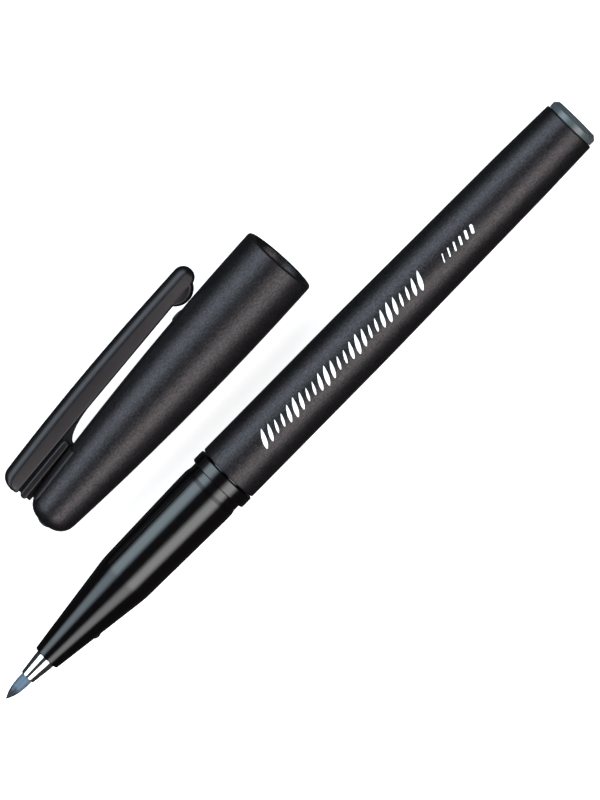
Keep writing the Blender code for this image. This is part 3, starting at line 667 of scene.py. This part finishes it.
def make_cap_shell():
    """The cap, with the low pad on it just behind the clip's heel."""
    body = turned("cap_body", rounded(CAP_SECTION, MOULDED_EDGE), CAP)
    surface = cap_radius(PAD_DEPTH)

    def outline_at(inset):
        """A low bow over the pad's length, closed under the cap's surface."""
        half = 0.5 * PAD_LENGTH - inset
        shares = evenly(-1.0, 1.0, 24)
        bow = [(u * half - PAD_DEPTH, surface + (PAD_HEIGHT - inset) * (1.0 - u**4)) for u in shares]
        return bow + [(half - PAD_DEPTH, surface - PAD_HEIGHT), (-half - PAD_DEPTH, surface - PAD_HEIGHT)]

    pad = pillow("pad", outline_at, 0.5 * PAD_WIDTH, PAD_HEIGHT, CAP)
    dressed(combined(body, [pad]), "matte_black", "cap", "cap_shell")


def make_liner():
    outline = rounded(half_section("inner_cap", CAP), FINE_EDGE)
    dressed(turned("liner_cup", outline, CAP), "liner_white", "cap", "inner_cap")


def make_button():
    outline = rounded(half_section("colour_button", CAP), FINE_EDGE)
    dressed(turned("end_button", outline, CAP, SMALL_SEGMENTS), "ink_grey", "cap", "colour_button")


# ---- The clip

CLIP_POINTS = points_in("clip_arm", CAP)
FOOT_POINTS = points_in("clip_foot", CAP)
CLIP_TIP = -max(point.x for point in CLIP_POINTS)
CLIP_END = -min(point.x for point in FOOT_POINTS)
CLIP_REACH = max(point.y for point in CLIP_POINTS)
CLIP_WIDTH = 2.0 * max(point.z for point in CLIP_POINTS)
MOUTH_RADIUS = max(radius for _, radius in CAP_SECTION)


def clip_back(depth):
    """The clip's outer edge: flat near the tip, then a long arc towards the closed end."""
    past = max(depth - CLIP_FLAT_DEPTH, 0.0)
    return CLIP_REACH - past * past / (2.0 * CLIP_BACK_CURVE_RADIUS)


def clip_inner(depth):
    """The clip's inner edge: a straight line that draws in towards the closed end."""
    return MOUTH_RADIUS + CLIP_UNDERSIDE - CLIP_INNER_SLOPE * max(depth - HEEL_DEPTH, 0.0)


def bar_section(depth, back, inner, half):
    """One section of the bar: a round back, and sides drawn in to a flat inner face with eased edges."""
    inner_half = half * CLIP_INNER_WIDTH / CLIP_WIDTH
    crown = min(half, CLIP_CROWN_SHARE * (back - inner))
    edge = min(CLIP_EDGE, CLIP_EDGE_SHARE * (back - inner), 0.5 * inner_half)
    turns = [math.radians(90.0 - 7.5 * i) for i in range(25)]
    points = [(back - crown + crown * math.cos(a), half * math.sin(a)) for a in turns]
    points += arc((inner + edge, edge - inner_half), edge, -80, -180, 5)
    points += arc((inner + edge, inner_half - edge), edge, 180, 80, 5)
    return [(-depth, y, z) for y, z in points]


def tip_section(depth):
    """The bar near its tip, which rounds off evenly on every side."""
    inside = min(max(depth - CLIP_TIP, 0.0) / (0.5 * CLIP_WIDTH), 1.0)
    share = CLIP_TIP_LEAST + (1.0 - CLIP_TIP_LEAST) * math.sqrt(1.0 - (1.0 - inside) ** 2)
    middle = 0.5 * (clip_back(depth) + clip_inner(depth))
    reach = share * (clip_back(depth) - middle)
    return bar_section(depth, middle + reach, middle - reach, 0.5 * share * CLIP_WIDTH)


def corner_drop(depth, radius):
    """How far a rounded corner at the clip's closed end has drawn in at a depth."""
    past = min(max(depth - CLIP_END + radius, 0.0), radius)
    return radius - math.sqrt(radius**2 - past**2)


def root_section(depth):
    """The bar near the cap's closed end: a wide round on its back, small ones on its other edges."""
    back = clip_back(depth) - corner_drop(depth, CLIP_BACK_CORNER)
    inner = clip_inner(depth) + corner_drop(depth, CLIP_INNER_CORNER)
    return bar_section(depth, back, inner, 0.5 * CLIP_WIDTH - corner_drop(depth, CLIP_SIDE_CORNER))


def make_bar():
    crowded = [1.0 - math.cos(math.radians(6.0 * i)) for i in range(16)]
    at_tip = [CLIP_TIP + 0.5 * CLIP_WIDTH * share for share in crowded]
    at_root = [CLIP_END - CLIP_BACK_CORNER * share for share in reversed(crowded)]
    between = evenly(at_tip[-1], at_root[0], 70)[1:-1]
    sections = [tip_section(depth) for depth in at_tip]
    sections += [root_section(depth) for depth in between + at_root]
    return lofted("clip_and_root", sections, CAP)


def make_heel():
    """The rounded heel under the clip's tip, down to a hair above the cap."""
    centre = cap_radius(HEEL_DEPTH) + HEEL_GAP + HEEL_RADIUS

    def outline_at(inset):
        return arc((-HEEL_DEPTH, centre), HEEL_RADIUS - inset, 205, 335, 40)

    return pillow("heel", outline_at, 0.5 * HEEL_WIDTH, HEEL_EDGE, CAP)


def make_fin(low):
    """The flat fin of the clip's root, nearly parallel to the bar, with rounded ends and edges."""
    half = 0.5 * FIN_HEIGHT
    end = CLIP_END - FIN_FROM_CLIP_END

    def outline_at(inset):
        outline = arc((half - end, low + half), half - inset, 270, 90, 16)
        outline += arc((FIN_LENGTH - end - half, low + half), half - inset, 90, -90, 16)
        return [(x, y + FIN_SLOPE * (x + end)) for x, y in outline]

    return pillow("fin", outline_at, 0.5 * FIN_WIDTH, FIN_EDGE, CAP)


def edge_height(u, edge):
    """The height of a low plate at u from -1 to 1 across it, falling in a quarter round at both edges."""
    past = max(abs(u) - 1.0 + edge, 0.0) / edge
    return max(math.sqrt(1.0 - past**2), SADDLE_LEAST_EDGE)


def make_saddle():
    """The thin saddle that spreads the clip's root over the cap's side."""
    end = CLIP_END - SADDLE_FROM_CLIP_END
    crowded = [-math.cos(math.radians(4.5 * i)) for i in range(41)]
    sections = []
    for along in crowded:
        depth = end - 0.5 * SADDLE_LENGTH * (1.0 + along)
        low = cap_radius(depth) - SADDLE_SUNK
        rise = (SADDLE_PROUD + SADDLE_SUNK) * edge_height(along, SADDLE_END_EDGE)
        outer = [(low + rise * edge_height(u, SADDLE_EDGE), u * SADDLE_HALF_ANGLE) for u in crowded]
        inner = [(low, u * SADDLE_HALF_ANGLE) for u in reversed(crowded)]
        sections.append([(-depth, r * math.cos(a), r * math.sin(a)) for r, a in outer + inner])
    return lofted("saddle", sections, CAP)


def make_web():
    """The narrow core of the root, with the fillet that sweeps forward under the bar."""
    end = CLIP_END - WEB_FROM_CLIP_END
    front = end - WEB_LENGTH
    foot = cap_radius(end) - FIN_HEIGHT
    surface = cap_radius(front)
    sweep = [math.radians(4.5 * i) for i in range(21)]
    low = clip_inner(front - WEB_FILLET_LENGTH)
    rise = low - surface
    outline = [(-end, foot), (-front, foot)]
    for angle in sweep:
        forward = WEB_FILLET_LENGTH * (1.0 - math.cos(angle))
        outline.append((forward - front, surface + rise * math.sin(angle)))
    outline += [(WEB_FILLET_LENGTH - front, low + WEB_OVERLAP), (-end, clip_inner(end) + WEB_OVERLAP)]
    return prism("web", outline, 0.5 * WEB_WIDTH, CAP)


def make_cap_envelope():
    """The cap's outside grown by the clip's seat gap, which trims the root to sit on the cap."""
    depths = evenly(ENVELOPE_START, CLIP_END - ENVELOPE_STOP, 60)
    outline = [(0.0, 0.0)]
    outline += [(-depth, cap_radius(depth) + CLIP_SEAT_GAP) for depth in depths]
    outline.append((-CLIP_END, cap_radius(CLIP_END - ENVELOPE_LAST) + CLIP_SEAT_GAP))
    outline.append((-CLIP_END - ENVELOPE_PAST, 0.0))
    return turned("envelope", outline, CAP)


def make_clip():
    """The whole clip in one moulding, drawn here as one rigid piece. On the real pen its free length bends away
    from the cap about its root.
    """
    fin = make_fin(clip_inner(CLIP_END) - FIN_GAP - FIN_HEIGHT)
    clip = combined(make_bar(), [make_heel(), make_web(), fin, make_saddle()])
    clip = combined(clip, [make_cap_envelope()], "DIFFERENCE")
    dressed(clip, "clip_black", None, "clip_foot", "clip_arm")
    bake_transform(clip)


# ---- The printed marks


def dab_half_width(u, length, width):
    """A brush dab: a fine entry that swells past its middle and lifts off in a point."""
    return 0.5 * width * math.sin(math.pi * u**0.8) ** 0.75


def rule_half_width(u, length, width):
    """A short rule with round ends."""
    half = 0.5 * width
    to_centre = max(half - length * min(u, 1.0 - u), 0.0)
    return math.sqrt(max(half**2 - to_centre**2, 0.0))


def outer_ring(grid):
    """The points round the edge of a grid, in order."""
    far_side = [row[-1] for row in grid[1:-1]]
    near_side = [row[0] for row in grid[-2:0:-1]]
    return grid[0] + far_side + grid[-1][::-1] + near_side


def print_mark(bm, half_width, length, width, station, around, section):
    """Adds one slanted mark: a film of ink wrapped on the barrel, in rows of points across its length."""
    shares = [0.5 - 0.5 * math.cos(math.pi * i / MARK_ROWS) for i in range(MARK_ROWS + 1)]
    grids = []
    for lift in (-PRINT_SUNK, PRINT_PROUD):
        grid = []
        for u in shares:
            x = length * (u - 0.5)
            half = max(half_width(u, length, width), PRINT_PROUD)
            row = []
            for v in evenly(-1.0, 1.0, MARK_COLUMNS):
                s = station + x * math.cos(MARK_SLANT) - v * half * math.sin(MARK_SLANT)
                surface = radius_at(section, s)
                angle = (around + x * math.sin(MARK_SLANT) + v * half * math.cos(MARK_SLANT)) / surface
                reach = surface + lift
                row.append(bm.verts.new((s, reach * math.sin(angle), reach * math.cos(angle))))
            grid.append(row)
        grids.append(grid)
        for near, far in zip(grid, grid[1:]):
            for j in range(MARK_COLUMNS):
                bm.faces.new((near[j], near[j + 1], far[j + 1], far[j]))
    low, high = (outer_ring(grid) for grid in grids)
    for i in range(len(low)):
        j = (i + 1) % len(low)
        bm.faces.new((low[i], low[j], high[j], high[i]))


def make_print():
    """A row of slanted brush dabs that swell and fade, and six short rules of growing width."""
    section = half_section("barrel", PEN)
    bm = bmesh.new()
    for i in range(MARK_COUNT):
        share = i / (MARK_COUNT - 1)
        beat = 0.5 + 0.5 * math.cos(2.0 * math.pi * MARK_BEATS * share)
        length = MARK_LEAST[0] + beat * (MARK_MOST[0] - MARK_LEAST[0])
        width = MARK_LEAST[1] + beat * (MARK_MOST[1] - MARK_LEAST[1])
        station = MARK_FROM_TIP + share * MARK_RUN
        print_mark(bm, dab_half_width, length, width, station, MARK_AROUND, section)
    for i in range(RULE_COUNT):
        width = RULE_FINEST + RULE_WIDER * i
        station = RULE_FROM_TIP + i * RULE_PITCH
        print_mark(bm, rule_half_width, RULE_LENGTH, width, station, RULE_AROUND, section)
    dressed(finished(bm, "printed_marks", PEN, PRINT_SMOOTH_ANGLE), "print_white", "pen")


# ---- Stage


def make_floor():
    bm = bmesh.new()
    bmesh.ops.create_grid(bm, x_segments=1, y_segments=1, size=0.5 * FLOOR_SIZE)
    made, tree, shader = shader_material("pale_floor", (0.50, 0.50, 0.50), 0.9)
    shade = noise(tree, coordinates(tree), 8.0, 2.0)
    tree.links.new(mixed(tree, shade, (0.49, 0.49, 0.49), (0.52, 0.52, 0.52)), shader.inputs["Base Color"])
    shader.inputs["Specular IOR Level"].default_value = 0.0
    shader.inputs["Emission Color"].default_value = (1.0, 1.0, 1.0, 1.0)
    shader.inputs["Emission Strength"].default_value = FLOOR_GLOW
    floor = finished(bm, "floor", Matrix.Translation((0.0, 0.0, CAD_BOX[0][2] - FLOOR_DROP)))
    floor.data.materials.append(made)
    floor.visible_glossy = False
    floor.visible_diffuse = False


def make_world():
    """White to the camera, and dim to everything else."""
    world = bpy.data.worlds.new("studio")
    bpy.context.scene.world = world
    world.use_nodes = True
    tree = world.node_tree
    background = tree.nodes["Background"]
    path = tree.nodes.new("ShaderNodeLightPath")
    background.inputs["Color"].default_value = (1.0, 1.0, 1.0, 1.0)
    strength = ranged(tree, path.outputs["Is Camera Ray"], 0.0, 1.0, DIM_WORLD, WHITE_WORLD)
    tree.links.new(strength, background.inputs["Strength"])


def make_softbox(name, side, low, high, radiance):
    """A soft-edged strip: nested lights, each drawn in a little, that share its radiance."""
    part = [channel / SOFTBOX_STEPS for channel in radiance]
    for i in range(SOFTBOX_STEPS):
        fade = SOFTBOX_FADE * (2.0 * (i + 0.5) / SOFTBOX_STEPS - 1.0)
        distance = LIGHT_DISTANCE + i * SOFTBOX_SPACING
        make_strip(f"{name}_{i}", side, low + fade, high - fade, part, distance)


def make_strip(name, side, low, high, radiance, distance):
    """A long strip light beside the set, from one angle off the vertical to another."""
    middle = math.radians(0.5 * (low + high))
    width = 2.0 * distance * math.tan(math.radians(0.5 * (high - low)))
    light = bpy.data.lights.new(name, "AREA")
    light.shape = "RECTANGLE"
    light.size = LIGHT_LENGTH
    light.size_y = width
    strongest = max(radiance)
    light.energy = math.pi * strongest * LIGHT_LENGTH * width
    light.color = [part / strongest for part in radiance]
    made = bpy.data.objects.new(name, light)
    bpy.context.scene.collection.objects.link(made)
    towards = Vector((0.0, side * math.sin(middle), math.cos(middle)))
    x_axis = Vector((1.0, 0.0, 0.0))
    turned_to = Matrix((x_axis, towards.cross(x_axis), towards)).transposed()
    made.matrix_world = Matrix.Translation(distance * towards) @ turned_to.to_4x4()
    made.visible_camera = False


def make_camera():
    """Almost overhead, a little beyond the tail, with the pen rising to the right across the picture."""
    aim = PEN @ Vector((AIM_FROM_TIP, 0.0, 0.0))
    foot = PEN @ Vector((PEN_LENGTH + CAMERA_BEHIND_TAIL, 0.0, 0.0))
    eye = Vector((foot.x, foot.y, CAMERA_HEIGHT))
    back = (eye - aim).normalized()
    along = PEN.to_3x3() @ Vector((1.0, 0.0, 0.0))
    along = (along - along.dot(back) * back).normalized()
    across = back.cross(along)
    up = math.sin(PEN_SLANT) * along + math.cos(PEN_SLANT) * across
    right = up.cross(back)
    camera = bpy.data.cameras.new("camera")
    camera.sensor_width = SENSOR
    camera.lens = SENSOR * (eye - aim).length / FRAME_HEIGHT
    camera.clip_start = CLIP_NEAR
    camera.clip_end = CLIP_FAR
    made = bpy.data.objects.new("camera", camera)
    bpy.context.scene.collection.objects.link(made)
    made.matrix_world = Matrix.Translation(eye) @ Matrix((right, up, back)).transposed().to_4x4()
    bpy.context.scene.camera = made


HIDDEN_INSIDE = {"nib_stem": "nib_fibre", "reservoir_core": "ink_fibre", "reservoir_sheath": "clear_film"}


def main():
    make_barrel()
    make_tail_plug()
    make_grip()
    make_ferrule()
    make_nib()
    make_cap_shell()
    make_liner()
    make_button()
    make_clip()
    make_print()
    for node, slot in HIDDEN_INSIDE.items():
        kept = frame["nodes"][node]
        kept.data.materials.clear()
        kept.data.materials.append(MATERIALS[slot])
    make_floor()
    make_world()
    make_softbox("left_softbox", 1.0, *LEFT_SOFTBOX)
    make_softbox("right_softbox", -1.0, *RIGHT_SOFTBOX)
    make_camera()
    bpy.context.scene.view_settings.view_transform = "Standard"


main()
